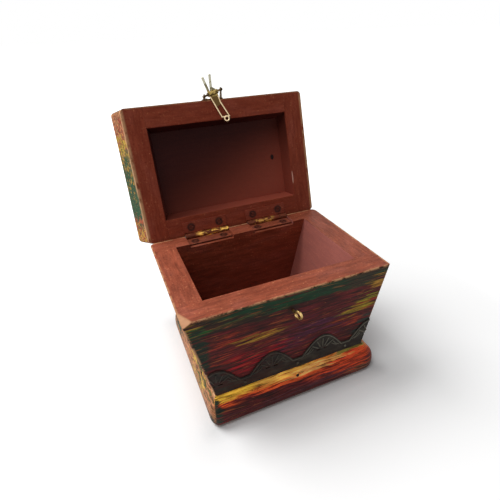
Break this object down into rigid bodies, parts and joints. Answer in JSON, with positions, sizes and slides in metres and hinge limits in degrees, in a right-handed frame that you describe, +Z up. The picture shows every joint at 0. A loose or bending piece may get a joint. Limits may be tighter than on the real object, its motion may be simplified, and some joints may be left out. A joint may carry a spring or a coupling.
{
  "type": "small painted wooden box with a hinged lid",
  "caption": "Small painted wooden box with leaning sides on a rounded plinth; its tray lid swings on butt hinges and a brass hasp folds down over a staple on the front.",
  "frame": {"origin": "underside below the middle of the box's rim, on the surface that the box stands on", "axes": "+Z up, +Y to the back, where the hinges are, +X to the right as seen from the front"},
  "size_m": [0.1666, 0.1667, 0.2143],
  "materials": {
    "front_paint": "streaky worn maroon, purple and green paint",
    "side_paint": "thin reddish brown paint, worn at the edges",
    "bare_wood": "dark stained",
    "plinth_paint": "yellow, orange and red streaked paint",
    "lid_paint": "dark red-brown paint, worn",
    "nail_iron": "dull",
    "strip_metal": "dark, tarnished, embossed",
    "hinge_brass": "painted over, worn bright on the barrels",
    "hasp_brass": "tarnished",
    "dark_brass": "dark tarnish"
  },
  "bodies": {
    "box": {"front_board": "front_paint", "back_board": "side_paint", "left_board": "side_paint", "right_board": "side_paint", "floor_board": "bare_wood", "plinth_front": "plinth_paint", "plinth_back": "plinth_paint", "plinth_left": "plinth_paint", "plinth_right": "plinth_paint", "board_nails": "nail_iron", "plinth_nails": "nail_iron", "foot_nails": "nail_iron", "trim_strip": "strip_metal", "trim_tacks": "strip_metal", "latch_staple": "hasp_brass", "hinge_left_box_leaf": "hinge_brass", "hinge_right_box_leaf": "hinge_brass", "hinge_left_pin": "hinge_brass", "hinge_right_pin": "hinge_brass", "box_hinge_screws": "hinge_brass"},
    "lid": {"lid_front_rail": "lid_paint", "lid_back_rail": "lid_paint", "lid_left_rail": "lid_paint", "lid_right_rail": "lid_paint", "lid_panel": "lid_paint", "lid_nails": "nail_iron", "hinge_left_lid_leaf": "hinge_brass", "hinge_right_lid_leaf": "hinge_brass", "lid_hinge_screws": "hinge_brass", "hasp_bracket": "dark_brass", "hasp_pin": "hasp_brass", "hasp_bracket_nails": "nail_iron"},
    "hasp": {"hasp": "hasp_brass"}
  },
  "joints": [
    {"name": "lid_hinge", "type": "hinge", "parent": "box", "child": "lid", "pos_m": [0, 0.0531, 0.0952], "axis": [-1, 0, 0], "range_deg": [-107.5, 72.5]},
    {"name": "hasp_swing", "type": "hinge", "parent": "lid", "child": "hasp", "pos_m": [-0.0029, 0.08797, 0.20049], "axis": [-0.9613, -0.0829, -0.2629], "range_deg": [0, 106]}
  ]
}
